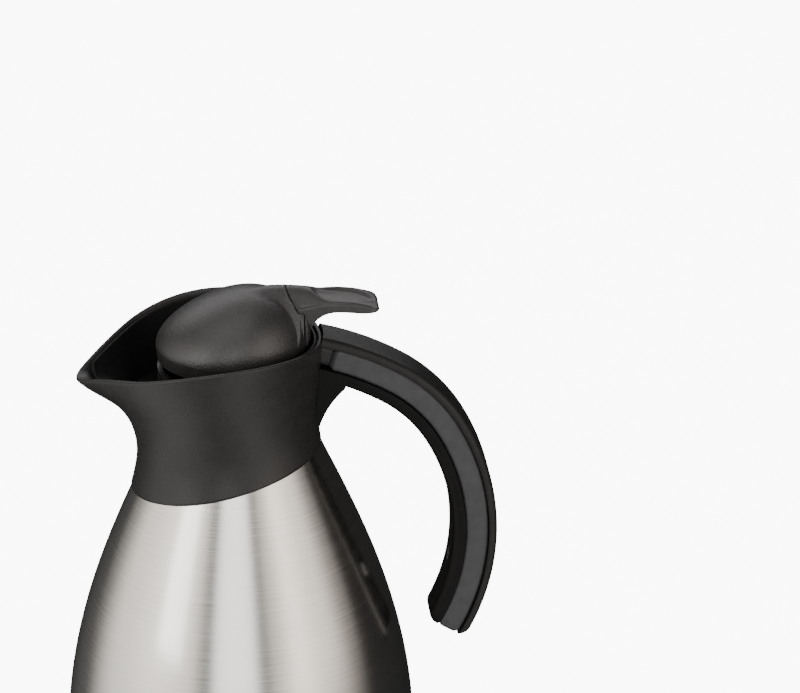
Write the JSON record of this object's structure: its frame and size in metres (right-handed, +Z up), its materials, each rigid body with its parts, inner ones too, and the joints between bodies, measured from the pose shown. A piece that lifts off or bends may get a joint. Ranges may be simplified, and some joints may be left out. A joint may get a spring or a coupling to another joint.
{
  "type": "thermal carafe",
  "caption": "Double-walled steel thermal carafe with a plastic pouring collar, arched handle and a sprung flip lid opened by a thumb lever.",
  "frame": {"origin": "on the flask's axis, in the plane the carafe stands on", "axes": "+Z up along the flask's axis, -X towards the spout, +X towards the handle"},
  "size_m": [0.1686, 0.1364, 0.2353],
  "materials": {
    "steel_jacket": "brushed",
    "steel_inner": "satin",
    "black_plastic": "matte",
    "base_plastic": "matte",
    "insert_plastic": "satin",
    "core_plastic": "satin",
    "lever_plastic": "satin",
    "seal_rubber": "matte",
    "foam": "matte",
    "screw_steel": "satin"
  },
  "bodies": {
    "flask": {"outer_jacket": "steel_jacket", "inner_vessel": "steel_inner", "jacket_base": "steel_inner", "getter": "steel_inner", "vacuum_seal": "steel_inner", "base_cup": "base_plastic", "foot_pad": "seal_rubber", "clamp_ring": "black_plastic", "neck_gasket": "seal_rubber", "collar": "black_plastic", "pour_insert": "insert_plastic", "handle_back_shell": "black_plastic", "handle_core": "core_plastic", "handle_front_shell": "black_plastic", "handle_screws": "screw_steel", "handle_cross_pin": "screw_steel"},
    "stopper": {"stopper_body": "black_plastic", "plug_seal": "seal_rubber", "hinge_pin": "screw_steel", "lid_spring": "screw_steel"},
    "lid": {"lid_dome": "black_plastic", "lid_plate": "black_plastic", "thumb_lever": "lever_plastic", "valve_seal": "seal_rubber", "lid_insulation": "foam", "lid_screws": "screw_steel"}
  },
  "joints": [
    {"name": "stopper_lift", "type": "slide", "parent": "flask", "child": "stopper", "axis": [0, 0, 1], "range_m": [0, 0.06]},
    {"name": "lid_flip", "type": "hinge", "parent": "stopper", "child": "lid", "pos_m": [0.0215, 0, 0.215], "axis": [0, 1, 0], "range_deg": [0, 24], "stiffness_Nm_per_rad": 0.05, "springref_deg": -28.65, "deforming": ["lid_spring"]}
  ]
}
